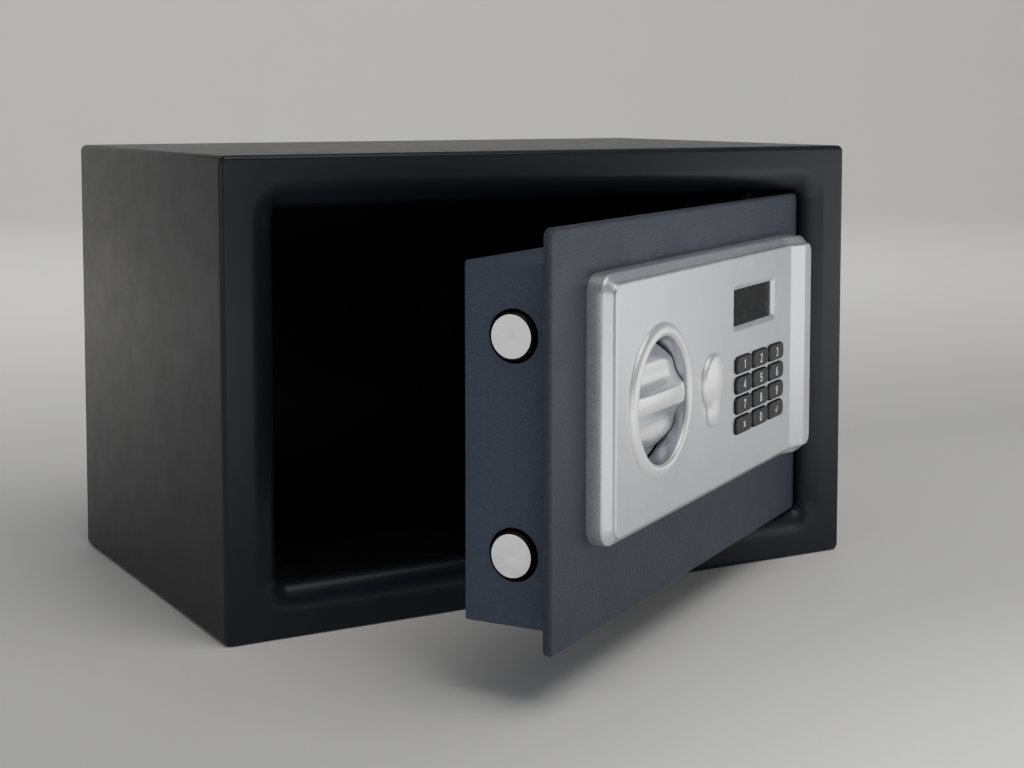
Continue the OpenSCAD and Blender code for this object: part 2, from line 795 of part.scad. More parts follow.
// Sliding lid over the batteries, with a ribbed thumb pad.
module battery_cover() {
  out = cover_out - 0.2;
  color("#252528") door_space() {
    slab(out - 2, out) round_rect(box_l - 1, box_b - 3, box_l + box_w + 1, box_b + box_h + 3, 3);
    for (i = [0 : 5])
      translate([box_l + 6 + 2.4 * i, box_b + box_h / 2 - 12, out - 2.8]) cube([1.2, 24, 0.9]);
  }
}

module reset_switch() {
  color("#252528") door_space() difference() {
    translate([reset_x - 6, reset_z - 6, cover_in]) cube([12, 12, 9]);
    rod(reset_x, reset_z, 2.6, cover_in - 1, cover_in + 7);
  }
}

module reset_button() {
  color("firebrick") door_space() rod(reset_x, reset_z, 2.5, cover_out - 1.8, cover_in + 4);
}

// ---- Nodes ---------------------------------------------------------------------------------

outer_shell();
back_panel();
front_frame();
floor_mat();
frame_hinge_upper();
frame_hinge_lower();
hinge_pin_upper();
hinge_pin_lower();
hinge_washers();
door_plate();
door_pan();
cover_posts();
inner_cover();
cover_screws();
door_hinge_upper();
door_hinge_lower();
control_panel();
panel_screws();
knob_ring();
knob_bush();
knob();
knob_shaft();
knob_cam();
bolt_carriage();
bolt_upper();
bolt_lower();
carriage_guides();
solenoid_body();
solenoid_plunger();
plunger_spring();
lock_cylinder();
lock_nut();
lock_plug();
lock_cam();
key_cover();
cover_pivot();
display_window();
display_module();
circuit_board();
keypad_mat();
key(0);  // key_1
key(1);  // key_2
key(2);  // key_3
key(3);  // key_4
key(4);  // key_5
key(5);  // key_6
key(6);  // key_7
key(7);  // key_8
key(8);  // key_9
key(9);  // key_clear
key(10);  // key_0
key(11);  // key_enter
battery_box();
batteries();
battery_contacts();
battery_cover();
reset_switch();
reset_button();
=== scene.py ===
import json
import math

import bmesh
import bpy
from mathutils import Matrix, Vector, noise


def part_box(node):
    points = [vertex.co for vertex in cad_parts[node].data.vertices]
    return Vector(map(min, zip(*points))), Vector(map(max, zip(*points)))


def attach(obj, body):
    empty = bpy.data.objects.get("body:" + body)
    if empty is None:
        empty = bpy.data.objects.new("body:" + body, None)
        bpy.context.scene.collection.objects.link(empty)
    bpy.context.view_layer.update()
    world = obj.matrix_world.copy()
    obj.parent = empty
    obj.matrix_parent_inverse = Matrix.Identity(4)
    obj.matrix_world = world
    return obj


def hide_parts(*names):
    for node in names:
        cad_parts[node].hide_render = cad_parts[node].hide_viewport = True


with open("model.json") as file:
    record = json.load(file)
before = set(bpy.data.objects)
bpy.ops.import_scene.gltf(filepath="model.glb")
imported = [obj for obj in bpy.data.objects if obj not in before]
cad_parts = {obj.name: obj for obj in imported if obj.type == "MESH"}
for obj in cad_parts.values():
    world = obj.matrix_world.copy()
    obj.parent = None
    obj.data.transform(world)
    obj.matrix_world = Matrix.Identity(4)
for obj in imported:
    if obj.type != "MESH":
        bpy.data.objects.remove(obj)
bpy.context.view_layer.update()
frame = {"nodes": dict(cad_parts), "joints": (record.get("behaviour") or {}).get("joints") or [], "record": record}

MM = 0.001

# ---- Places, worked out from the frame -----------------------------------------------------

joints = {joint["name"]: joint for joint in frame["joints"]}
hinge = Vector(joints["door_hinge"]["pos_m"])
outward = Vector(joints["knob_turn"]["axis"])
open_angle = math.atan2(outward.x, -outward.y)
front_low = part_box("front_frame")[0]

# Space of the cabinet's front face: x right, y up, z out of the face, in millimetres.
FACE = Matrix(((MM, 0, 0, 0), (0, 0, -MM, front_low.y), (0, MM, 0, 0), (0, 0, 0, 1)))
# The same space on the door, which stands open.
DOOR = (Matrix.Translation(hinge) @ Matrix.Rotation(open_angle, 4, "Z")
        @ Matrix.Translation(-hinge) @ FACE)
# Where the door's own x axis points at rest.
rightward = DOOR.to_3x3().col[0].normalized()


def extent(node, space):
    """Lowest and highest corner of a CAD node, in millimetres, in the given space."""
    back = space.inverted()
    points = [back @ v.co for v in frame["nodes"][node].data.vertices]
    low = Vector([min(p[i] for p in points) for i in range(3)])
    high = Vector([max(p[i] for p in points) for i in range(3)])
    return low, high


def middle(node, space):
    low, high = extent(node, space)
    return (low + high) / 2


# ---- Mesh tools ----------------------------------------------------------------------------

def round_rect(l, b, r, t, corner, height, steps=8, pitch=None):
    """Closed ring of points round a rectangle, with arcs at its corners.

    With a pitch, the straight sides are divided too, at about that distance.
    """
    ring = []
    centres = ((r - corner, b + corner, -90), (r - corner, t - corner, 0),
               (l + corner, t - corner, 90), (l + corner, b + corner, 180))
    for cx, cy, start in centres:
        for i in range(steps + 1):
            a = math.radians(start + 90 * i / steps)
            ring.append(Vector((cx + corner * math.cos(a), cy + corner * math.sin(a), height)))
    if pitch is None:
        return ring
    divided = []
    for a, b in zip(ring, ring[1:] + ring[:1]):
        parts = 1
        if (b - a).length > 3 * pitch:
            parts = round((b - a).length / pitch)
        divided += [a.lerp(b, i / parts) for i in range(parts)]
    return divided


def circle(cx, cy, radius, height, steps=96):
    angles = [2 * math.pi * i / steps for i in range(steps)]
    return [Vector((cx + radius * math.cos(a), cy + radius * math.sin(a), height)) for a in angles]


def arc(cx, cy, radius, start, end, steps):
    """Points (across, height) of an arc, for a profile."""
    angles = [math.radians(start + (end - start) * i / steps) for i in range(steps + 1)]
    return [(cx + radius * math.cos(a), cy + radius * math.sin(a)) for a in angles]


def loft(rings, space, closed=False):
    """Mesh through rings of the same count, capped at both ends, or joined end to end if closed."""
    bm = bmesh.new()
    rows = [[bm.verts.new(space @ p) for p in ring] for ring in rings]
    pairs = list(zip(rows, rows[1:]))
    if closed:
        pairs.append((rows[-1], rows[0]))
    count = len(rows[0])
    for low, high in pairs:
        for i in range(count):
            j = (i + 1) % count
            bm.faces.new((low[i], low[j], high[j], high[i]))
    if not closed:
        bm.faces.new(rows[0][::-1])
        bm.faces.new(rows[-1])
    bmesh.ops.recalc_face_normals(bm, faces=bm.faces)
    return bm


def lathe(profile, space, steps=96):
    """Turned mesh about z from (radius, height) points. A first or last radius of 0 closes it."""
    bm = bmesh.new()
    rows = []
    for radius, height in profile:
        if radius == 0:
            rows.append([bm.verts.new(space @ Vector((0, 0, height)))])
            continue
        rows.append([bm.verts.new(space @ p) for p in circle(0, 0, radius, height, steps)])
    pairs = list(zip(rows, rows[1:]))
    if profile[0][0] > 0:
        pairs.append((rows[-1], rows[0]))
    for low, high in pairs:
        for i in range(steps):
            j = (i + 1) % steps
            corners = [low[i % len(low)], low[j % len(low)],
                       high[j % len(high)], high[i % len(high)]]
            unique = []
            for corner in corners:
                if corner not in unique:
                    unique.append(corner)
            bm.faces.new(unique)
    bmesh.ops.recalc_face_normals(bm, faces=bm.faces)
    return bm


def piece(name, bm, body, material, replaces=(), sharp=35):
    """Turns a bmesh into a finished object that rides on a CAD body."""
    mesh = bpy.data.meshes.new(name)
    bm.to_mesh(mesh)
    bm.free()
    obj = bpy.data.objects.new(name, mesh)
    bpy.context.scene.collection.objects.link(obj)
    mesh.shade_smooth()
    mesh.set_sharp_from_angle(angle=math.radians(sharp))
    mesh.materials.append(material)
    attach(obj, body)
    if replaces:
        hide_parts(*replaces)
    return obj


def cut(obj, tools):
    """Subtracts closed bmeshes from a piece, and applies the result to its mesh."""
    cutters = []
    for bm in tools:
        mesh = bpy.data.meshes.new("cutter")
        bm.to_mesh(mesh)
        bm.free()
        cutter = bpy.data.objects.new("cutter", mesh)
        bpy.context.scene.collection.objects.link(cutter)
        cutters.append(cutter)
        modifier = obj.modifiers.new("cut", "BOOLEAN")
        modifier.operation = "DIFFERENCE"
        modifier.solver = "EXACT"
        modifier.object = cutter
    apply_modifiers(obj)
    for cutter in cutters:
        bpy.data.meshes.remove(cutter.data)


def apply_modifiers(obj):
    bpy.context.view_layer.update()
    evaluated = obj.evaluated_get(bpy.context.evaluated_depsgraph_get())
    mesh = bpy.data.meshes.new_from_object(evaluated)
    obj.modifiers.clear()
    old = obj.data
    obj.data = mesh
    bpy.data.meshes.remove(old)
    mesh.name = obj.name


def soften(obj, width, angle=30, segments=2):
    """Rounds the edges of a mesh, so that they catch the light."""
    bevel = obj.modifiers.new("bevel", "BEVEL")
    bevel.width = width * MM
    bevel.segments = segments
    bevel.limit_method = "ANGLE"
    bevel.angle_limit = math.radians(angle)
    bevel.harden_normals = True
    bevel.use_clamp_overlap = True


def weigh_normals(obj):
    """Lets the large faces lead the shading of a rounded piece."""
    modifier = obj.modifiers.new("normals", "WEIGHTED_NORMAL")
    modifier.keep_sharp = True
    modifier.weight = 80


def finish_edges(obj, width, angle=40):
    """Soft edges and true shading after a cut."""
    obj.data.shade_smooth()
    obj.data.set_sharp_from_angle(angle=math.radians(30))
    soften(obj, width, angle)


# ---- Materials -----------------------------------------------------------------------------

class Shader:
    """A node material under construction, with short calls for the nodes that it uses."""

    def __init__(self, name, roughness, metallic=0.0, specular=0.5):
        self.material = bpy.data.materials.new(name)
        self.material.use_nodes = True
        self.nodes = self.material.node_tree.nodes
        self.links = self.material.node_tree.links
        self.bsdf = self.nodes["Principled BSDF"]
        self.bsdf.inputs["Roughness"].default_value = roughness
        self.bsdf.inputs["Metallic"].default_value = metallic
        self.bsdf.inputs["Specular IOR Level"].default_value = specular
        self.place = self.nodes.new("ShaderNodeTexCoord").outputs["Object"]
        self.last_bump = None

    def link(self, source, target):
        self.links.new(source, target)

    def stretched(self, x, y, z):
        """Coordinates scaled per axis, for brushed and moulded grain."""
        mapping = self.nodes.new("ShaderNodeMapping")
        mapping.inputs["Scale"].default_value = (x, y, z)
        self.link(self.place, mapping.inputs["Vector"])
        return mapping.outputs["Vector"]

    def noise(self, size_mm, detail=3.0, roughness=0.5, vector=None, seed=0.0):
        node = self.nodes.new("ShaderNodeTexNoise")
        node.noise_dimensions = "4D"
        node.inputs["W"].default_value = seed
        node.inputs["Scale"].default_value = 1.0 / (size_mm * MM)
        node.inputs["Detail"].default_value = detail
        node.inputs["Roughness"].default_value = roughness
        self.link(vector or self.place, node.inputs["Vector"])
        return node.outputs["Fac"]

    def cells(self, size_mm):
        node = self.nodes.new("ShaderNodeTexVoronoi")
        node.feature = "SMOOTH_F1"
        node.inputs["Scale"].default_value = 1.0 / (size_mm * MM)
        node.inputs["Smoothness"].default_value = 0.7
        self.link(self.place, node.inputs["Vector"])
        return node.outputs["Distance"]

    def ramp(self, source, low, high, low_value, high_value):
        """Clamped linear map of a value."""
        node = self.nodes.new("ShaderNodeMapRange")
        node.inputs["From Min"].default_value = low
        node.inputs["From Max"].default_value = high
        node.inputs["To Min"].default_value = low_value
        node.inputs["To Max"].default_value = high_value
        self.link(source, node.inputs["Value"])
        return node.outputs["Result"]

    def mix(self, factor, a, b):
        """Colour between a and b, each an output or an RGB triple."""
        node = self.nodes.new("ShaderNodeMix")
        node.data_type = "RGBA"
        self.link(factor, node.inputs["Factor"])
        for value, socket in ((a, node.inputs["A"]), (b, node.inputs["B"])):
            if isinstance(value, tuple):
                socket.default_value = (*value, 1)
            else:
                self.link(value, socket)
        return node.outputs["Result"]

    def maths(self, operation, a, b):
        node = self.nodes.new("ShaderNodeMath")
        node.operation = operation
        for value, socket in zip((a, b), node.inputs):
            if isinstance(value, (int, float)):
                socket.default_value = value
            else:
                self.link(value, socket)
        return node.outputs["Value"]

    def facing(self, direction, low, high):
        """0 to 1 as the surface turns towards a direction in the object's own space."""
        node = self.nodes.new("ShaderNodeVectorMath")
        node.operation = "DOT_PRODUCT"
        self.link(self.nodes.new("ShaderNodeTexCoord").outputs["Normal"], node.inputs[0])
        node.inputs[1].default_value = direction
        return self.ramp(node.outputs["Value"], low, high, 0.0, 1.0)

    def edge_wear_and_glint(self):
        """1 on convex edges, 0 elsewhere, from the geometry's pointiness."""
        pointiness = self.nodes.new("ShaderNodeNewGeometry").outputs["Pointiness"]
        return self.ramp(pointiness, 0.52, 0.62, 0.0, 1.0)

    def color(self, source):
        self.link(source, self.bsdf.inputs["Base Color"])

    def rough(self, source):
        self.link(source, self.bsdf.inputs["Roughness"])

    def bump(self, source, height_mm):
        """Relief of a few hundredths of a millimetre, on top of any relief before it."""
        node = self.nodes.new("ShaderNodeBump")
        node.inputs["Distance"].default_value = height_mm * MM
        self.link(source, node.inputs["Height"])
        if self.last_bump:
            self.link(self.last_bump, node.inputs["Normal"])
        self.last_bump = node.outputs["Normal"]
        self.link(self.last_bump, self.bsdf.inputs["Normal"])


def shade(color, factor):
    return tuple(min(1.0, channel * factor) for channel in color)


def powder_coat(name, color, roughness, grain_mm, height_mm, sparkle, specular, coat=0.0):
    """Textured powder coat: an orange peel of small round grains, with faint painted glints, and edges made
    lighter as wear and as a painted highlight.
    """
    s = Shader(name, roughness, specular=specular)
    s.bsdf.inputs["Coat Weight"].default_value = coat
    s.bsdf.inputs["Coat Roughness"].default_value = 0.2
    grain = s.cells(grain_mm)
    fine = s.noise(grain_mm * 0.45, 2.0)
    cloud = s.noise(60, 3.0, 0.6)
    handled = s.noise(14, 4.0, 0.6, seed=3.0)
    tone = s.mix(s.ramp(cloud, 0.35, 0.65, 0.0, 1.0), shade(color, 0.94), shade(color, 1.06))
    # Painted glints: random specks lighter than the paint.
    tone = s.mix(s.ramp(fine, 0.55, 0.75, 0.0, sparkle), tone, shade(color, 2.2))
    # Convex edges lighter: partly wear, partly painted highlight where the light catches the rough edge.
    tone = s.mix(s.maths("MULTIPLY", s.edge_wear_and_glint(), 0.25), tone, shade(color, 2.5))
    s.color(tone)
    patches = s.ramp(handled, 0.3, 0.7, roughness - 0.03, roughness + 0.04)
    s.rough(s.maths("ADD", patches, s.ramp(fine, 0.3, 0.7, -0.05, 0.05)))
    s.bump(grain, height_mm)
    s.bump(fine, height_mm * 0.5)
    return s.material


def silver_paint(name, color, roughness, metallic=0.75):
    """Satin metallic paint on moulded plastic: fine flake, faint haze and rubbed edges."""
    s = Shader(name, roughness, metallic=metallic, specular=0.5)
    flake = s.noise(0.16, 1.0)
    haze = s.noise(26, 3.0, 0.6)
    peel = s.noise(2.4, 2.0)
    tone = s.mix(s.ramp(haze, 0.35, 0.65, 0.0, 1.0), shade(color, 0.985), shade(color, 1.015))
    tone = s.mix(s.ramp(flake, 0.52, 0.72, 0.0, 0.5), tone, shade(color, 1.25))
    tone = s.mix(s.maths("MULTIPLY", s.edge_wear_and_glint(), 0.35), tone, shade(color, 1.35))
    s.color(tone)
    s.rough(s.maths("ADD", s.ramp(haze, 0.2, 0.8, roughness - 0.02, roughness + 0.02),
                    s.ramp(flake, 0.3, 0.7, -0.04, 0.04)))
    s.bump(peel, 0.012)
    s.bump(flake, 0.004)
    return s.material


# Painted shade for the sides and chamfers of the bolts: near black, standing in for the shade of their holes.
BOLT_SIDE_SHADE = (0.018, 0.018, 0.02)


def plated_steel(name, color, roughness, scuff=0.5, metallic=1.0, faced=None):
    """Zinc or nickel plate: turned lines, cloudy plating, scuffs and small dark specks.

    With a direction in faced, only the end that faces that way keeps the plating's tone; the bar's sides and
    chamfer get painted shade, near black.
    """
    s = Shader(name, roughness, metallic=metallic, specular=0.5)
    lines = s.noise(0.22, 2.0, vector=s.stretched(1, 1, 0.15))
    cloud = s.noise(5.5, 4.0, 0.6)
    scuffs = s.noise(1.9, 6.0, 0.75, seed=5.0)
    specks = s.noise(0.9, 1.0, seed=9.0)
    tone = s.mix(s.ramp(cloud, 0.35, 0.65, 0.0, 1.0), shade(color, 0.84), shade(color, 1.1))
    tone = s.mix(s.ramp(scuffs, 0.52, 0.7, 0.0, scuff), tone, shade(color, 1.35))
    tone = s.mix(s.ramp(specks, 0.74, 0.78, 0.0, 0.75), tone, shade(color, 0.18))
    if faced is not None:
        # Painted shade: away from the lit end the bar turns near black, with a few pale scuffs.
        side_shade = s.mix(s.ramp(scuffs, 0.6, 0.72, 0.0, 0.8), BOLT_SIDE_SHADE, shade(color, 0.5))
        tone = s.mix(s.facing(faced, 0.86, 0.97), side_shade, tone)
    s.color(tone)
    s.rough(s.maths("ADD", s.ramp(cloud, 0.3, 0.7, roughness - 0.08, roughness + 0.1),
                    s.ramp(scuffs, 0.45, 0.7, 0.0, 0.15)))
    s.bump(lines, 0.006)
    s.bump(scuffs, 0.02 * scuff)
    return s.material


def moulded_plastic(name, color, roughness, grain_mm=0.35, height_mm=0.01, specular=0.5):
    """Moulded plastic: spark-eroded grain, slight mottling and paler edges."""
    s = Shader(name, roughness, specular=specular)
    grain = s.noise(grain_mm, 2.0)
    mottle = s.noise(12, 4.0, 0.6)
    tone = s.mix(s.ramp(mottle, 0.35, 0.65, 0.0, 1.0), shade(color, 0.88), shade(color, 1.12))
    tone = s.mix(s.maths("MULTIPLY", s.edge_wear_and_glint(), 0.5), tone, shade(color, 2.0))
    s.color(tone)
    s.rough(s.ramp(mottle, 0.3, 0.7, roughness - 0.06, roughness + 0.06))
    s.bump(grain, height_mm)
    return s.material


def smoked_window(name, color):
    """Dark glossy window over a display, with faint smudges."""
    s = Shader(name, 0.22, specular=0.06)
    smudge = s.noise(6, 4.0, 0.6)
    s.color(s.mix(s.ramp(smudge, 0.4, 0.7, 0.0, 1.0), color, shade(color, 1.4)))
    s.rough(s.ramp(smudge, 0.35, 0.7, 0.16, 0.3))
    s.bump(smudge, 0.003)
    return s.material


def circuit_mask(name, color):
    """Green solder mask with copper tracks under it."""
    s = Shader(name, 0.3, specular=0.5)
    tracks = s.nodes.new("ShaderNodeTexBrick")
    tracks.inputs["Scale"].default_value = 90
    tracks.inputs["Mortar Size"].default_value = 0.06
    s.link(s.place, tracks.inputs["Vector"])
    copper = s.ramp(tracks.outputs["Fac"], 0.4, 0.6, 0.0, 1.0)
    s.color(s.mix(copper, color, shade(color, 1.9)))
    s.rough(s.ramp(s.noise(3, 3.0), 0.3, 0.7, 0.22, 0.4))
    s.bump(copper, 0.03)
    return s.material


def cell_sleeve(name, color):
    """Shrink sleeve of a battery cell: a dark body with a band, and slight wrinkles."""
    s = Shader(name, 0.28, specular=0.5)
    wrinkle = s.noise(3.5, 3.0, vector=s.stretched(1, 1, 3))
    tone = s.mix(s.ramp(s.noise(14, 2.0), 0.45, 0.55, 0.0, 1.0), color, shade(color, 0.7))
    s.color(tone)
    s.rough(s.ramp(wrinkle, 0.3, 0.7, 0.2, 0.38))
    s.bump(wrinkle, 0.05)
    return s.material


def rubber_sheet(name, color):
    """Matt foamed rubber with open pores."""
    s = Shader(name, 0.85, specular=0.3)
    pores = s.cells(1.1)
    mottle = s.ramp(s.noise(20, 4.0), 0.35, 0.65, 0.0, 1.0)
    s.color(s.mix(mottle, shade(color, 0.8), shade(color, 1.3)))
    s.rough(s.ramp(pores, 0.1, 0.6, 0.92, 0.75))
    s.bump(pores, 0.12)
    return s.material


def shelf_surface(name, color):
    """Matt white board under the object."""
    s = Shader(name, 0.55, specular=0.4)
    s.color(s.mix(s.ramp(s.noise(160, 3.0), 0.3, 0.7, 0.0, 1.0), shade(color, 0.985), color))
    s.rough(s.ramp(s.noise(60, 3.0), 0.3, 0.7, 0.5, 0.6))
    s.bump(s.noise(0.8, 2.0), 0.01)
    return s.material


MATERIALS = {
    "cabinet_paint": powder_coat("cabinet_paint", (0.013, 0.013, 0.015), 0.42, grain_mm=0.6,
                                 height_mm=0.025, sparkle=0.2, specular=0.13, coat=0.14),
    "frame_paint": powder_coat("frame_paint", (0.012, 0.013, 0.018), 0.40, grain_mm=0.6,
                               height_mm=0.02, sparkle=0.2, specular=0.2, coat=0.12),
    "door_paint": powder_coat("door_paint", (0.037, 0.042, 0.057), 0.44, grain_mm=0.8,
                              height_mm=0.16, sparkle=0.8, specular=0.15),
    # Painted light: a lighter copy of the door's paint for the box behind the plate, so that its side walls read
    # brighter; it also has coarser grain and more glints.
    "door_paint_lit_copy": powder_coat("door_paint_lit_copy", (0.050, 0.060, 0.086), 0.5, grain_mm=0.9,
                             height_mm=0.3, sparkle=1.0, specular=0.2),
    "mat_rubber": rubber_sheet("mat_rubber", (0.010, 0.010, 0.011)),
    "zinc_steel": plated_steel("zinc_steel", (0.55, 0.55, 0.56), 0.34, 0.3),
    "bolt_steel": plated_steel("bolt_steel", (0.99, 0.99, 0.98), 0.45, 0.9, metallic=0.7,
                               faced=-rightward),
    "passivated_steel": plated_steel("passivated_steel", (0.62, 0.55, 0.34), 0.36, 0.3),
    "bearing_brass": plated_steel("bearing_brass", (0.72, 0.52, 0.24), 0.3, 0.25),
    "panel_silver": silver_paint("panel_silver", (0.60, 0.62, 0.66), 0.28),
    "trim_silver": silver_paint("trim_silver", (0.86, 0.87, 0.89), 0.33),
    "dial_silver": silver_paint("dial_silver", (0.90, 0.91, 0.93), 0.27, metallic=0.9),
    # Painted shade for the knob ring's inner wall: a dark grey copy of the silver paint.
    "well_shade_paint": silver_paint("well_shade_paint", (0.26, 0.28, 0.31), 0.30),
    "bush_plastic": moulded_plastic("bush_plastic", (0.70, 0.67, 0.58), 0.45),
    "lock_nickel": plated_steel("lock_nickel", (0.68, 0.66, 0.62), 0.22, 0.15),
    "window_plastic": smoked_window("window_plastic", (0.006, 0.0065, 0.008)),
    "display_body": moulded_plastic("display_body", (0.16, 0.19, 0.16), 0.4),
    "board_green": circuit_mask("board_green", (0.015, 0.11, 0.05)),
    "key_plastic": moulded_plastic("key_plastic", (0.012, 0.012, 0.014), 0.5, specular=0.3),
    "black_plastic": moulded_plastic("black_plastic", (0.014, 0.014, 0.015), 0.5),
    "cell_jacket": cell_sleeve("cell_jacket", (0.05, 0.14, 0.32)),
    "coil_wrap": cell_sleeve("coil_wrap", (0.22, 0.14, 0.04)),
    "button_red": moulded_plastic("button_red", (0.42, 0.02, 0.02), 0.35),
}

# Every CAD node gets its slot's material. Those that are replaced below drop out with it.
slot_of = {part["node"]: part["material_slot"] for part in frame["record"]["subparts"]}
for node, obj in frame["nodes"].items():
    obj.data.materials.clear()
    obj.data.materials.append(MATERIALS[slot_of[node]])


# ---- Cabinet -------------------------------------------------------------------------------

# Sheet thickness, the front's soft outer edge, and the seam between front and wrap.
SHEET = 1.5
BODY_CORNER = 3.0
EDGE = 2.2
SEAM = 2.6
# Flat face round the mouth, and the lip that rolls inwards from it.
RIM_LEFT = 16.0
RIM_RIGHT = 15.0
RIM_END = 13.5
ROLL_DEPTH = 8.5
ROLL_RUN = 12.0
MOUTH_CORNER = 4.0
ROLL_STEPS = 16
BACK_STEPS = 8
REAR_EDGE = 1.0


def grow(box, by, corner, height, **kind):
    """Ring round a box (left, bottom, right, top) that is grown by some millimetres."""
    l, b, r, t = box
    return round_rect(l - by, b - by, r + by, t + by, max(corner + by, 0.3), height, **kind)


def flat_box(node, space):
    low, high = extent(node, space)
    return (low.x, low.y, high.x, high.y)


def cabinet_front():
    """Front face with a soft outer edge and the rolled lip of the mouth."""
    body = flat_box("front_frame", FACE)
    lip_end = extent("front_frame", FACE)[0].z
    roll = ROLL_DEPTH
    mouth = (body[0] + RIM_LEFT + roll, body[1] + RIM_END + roll,
             body[2] - RIM_RIGHT - roll, body[3] - RIM_END - roll)
    rings = [grow(body, 0, BODY_CORNER, -SEAM)]
    for across, height in arc(EDGE, -EDGE, EDGE, 180, 90, 6):
        rings.append(grow(body, -across, BODY_CORNER, height))
    for i in range(ROLL_STEPS + 1):
        a = math.radians(90 * i / ROLL_STEPS)
        run = ROLL_RUN * (1 - math.sin(a))
        rings.append(grow(mouth, run, MOUTH_CORNER, -roll * (1 - math.cos(a))))
    for across, height in ((0, lip_end + 0.6), (0.2, lip_end + 0.15), (0.6, lip_end),
                           (1.0, lip_end + 0.05), (SHEET, lip_end + 0.5)):
        rings.append(grow(mouth, across, MOUTH_CORNER, height))
    for i in range(BACK_STEPS + 1):
        a = math.radians(90 - 90 * i / BACK_STEPS)
        run = SHEET + (ROLL_RUN - SHEET) * (1 - math.sin(a))
        rings.append(grow(mouth, run, MOUTH_CORNER, -SHEET - (roll - SHEET) * (1 - math.cos(a))))
    rings.append(grow(body, -SHEET - 0.4, BODY_CORNER, -SHEET))
    rings.append(grow(body, -SHEET, BODY_CORNER, -SEAM))
    bm = loft(rings, FACE, closed=True)
    obj = piece("cabinet_front", bm, "cabinet", MATERIALS["frame_paint"],
                replaces=["front_frame"])
    weigh_normals(obj)


def cabinet_wrap():
    """Folded wrap behind the front, with a rounded rear edge and the floor's anchor holes."""
    body = flat_box("outer_shell", FACE)
    rear = extent("outer_shell", FACE)[0].z
    rings = [grow(body, 0, BODY_CORNER, -SEAM)]
    for across, height in arc(REAR_EDGE, rear + REAR_EDGE, REAR_EDGE, 180, 270, 4):
        rings.append(grow(body, -across, BODY_CORNER, height))
    rings.append(grow(body, -SHEET, BODY_CORNER, rear))
    rings.append(grow(body, -SHEET, BODY_CORNER, -SEAM))
    bm = loft(rings, FACE, closed=True)
    obj = piece("cabinet_wrap", bm, "cabinet", MATERIALS["cabinet_paint"],
                replaces=["outer_shell"])
    anchors = [m for m in frame["record"]["mounts"] if m["name"] == "base_anchors"][0]
    tools = []
    for side in (-0.5, 0.5):
        centre = Vector(anchors["pos_m"])
        centre.x += side * anchors["dims"]["spacing_x_mm"] * MM
        upright = Matrix.Translation(centre) @ Matrix.Scale(MM, 4)
        radius = anchors["dims"]["hole_r_mm"]
        tools.append(loft([circle(0, 0, radius, -1), circle(0, 0, radius, SHEET + 1)], upright))
    cut(obj, tools)
    finish_edges(obj, 0.3)


# ---- Door ----------------------------------------------------------------------------------

# Corners of the plate and of the box behind it, the bolts' spigots, and the radii of the holes.
PLATE_CORNER = 3.5
PAN_CORNER = 1.6
PAN_EDGE = 0.6
BOLT_HOLE = 9.9
BOLT_SPIGOT = 4.0
BOLT_SPIGOT_RADIUS = 3.0
LOCK_HOLE = 8.0
PIVOT_HOLE = 1.5
SHAFT_ROOM = 1.5
CABLE_HOLE = 6.0
CABLE_HOLE_DROP = 16


def door_hole(x, y, radius, low, high, steps=64):
    """Round cutter along the door's normal, between two heights."""
    return loft([circle(x, y, radius, low, steps), circle(x, y, radius, high, steps)], DOOR)


def door_plate():
    """Front plate: rounded in front, with a slightly wavy cut edge under the paint."""
    plate = flat_box("door_plate", DOOR)
    back = extent("door_plate", DOOR)[0].z
    profile = ((1.2, back), (0.5, back + 0.15), (0.1, back + 0.55), (0, back + 1.1), (0, -1.7),
               (0.12, -1.0), (0.45, -0.4), (0.95, -0.08), (1.7, 0))
    rings = []
    for inset, height in profile:
        ring = grow(plate, -inset, PLATE_CORNER, height, pitch=1.1)
        rough = 0.14 if inset < 0.3 else 0.03
        for p in ring:
            swell = noise.noise(p * 0.9) + 0.6 * noise.noise(p * 2.1)
            p.x += rough * swell
            p.y += rough * noise.noise(p * 0.8 + Vector((7, 3, 1)))
        rings.append(ring)
    obj = piece("door_front_plate", loft(rings, DOOR), "door",
                MATERIALS["door_paint"], replaces=["door_plate"])
    knob_at = middle("knob_bush", DOOR)
    lock_at = middle("lock_cylinder", DOOR)
    board_at = middle("display_module", DOOR)
    shaft = extent("knob_shaft", DOOR)
    shaft_hole = (shaft[1].x - shaft[0].x) / 2 + SHAFT_ROOM
    tools = [door_hole(knob_at.x, knob_at.y, shaft_hole, back - 1, 1),
             door_hole(lock_at.x, lock_at.y, LOCK_HOLE, back - 1, 1),
             door_hole(board_at.x, board_at.y - CABLE_HOLE_DROP, CABLE_HOLE, back - 1, 1)]
    cut(obj, tools)
    finish_edges(obj, 0.25, 60)


def along_door(place):
    """Space whose z axis runs to the right across the door, from a place on it."""
    return DOOR @ Matrix.Translation(place) @ Matrix.Rotation(math.pi / 2, 4, "Y")


def door_box():
    """Folded box behind the plate, with the two bolt holes."""
    pan = flat_box("door_pan", DOOR)
    rear = extent("door_pan", DOOR)[0].z
    front = extent("door_pan", DOOR)[1].z
    rings = [grow(pan, 0, PAN_CORNER, front)]
    for across, height in arc(PAN_EDGE, rear + PAN_EDGE, PAN_EDGE, 180, 270, 3):
        rings.append(grow(pan, -across, PAN_CORNER, height))
    rings.append(grow(pan, -SHEET, PAN_CORNER, rear + 0.1))
    rings.append(grow(pan, -SHEET, PAN_CORNER, front))
    obj = piece("door_box", loft(rings, DOOR, closed=True), "door",
                MATERIALS["door_paint_lit_copy"], replaces=["door_pan"])
    tools = []
    for node in ("bolt_upper", "bolt_lower"):
        bolt_at = middle(node, DOOR)
        across = along_door((pan[0] - 4, bolt_at.y, bolt_at.z))
        tools.append(loft([circle(0, 0, BOLT_HOLE, 0), circle(0, 0, BOLT_HOLE, 10)], across))
    cut(obj, tools)
    finish_edges(obj, 0.4)


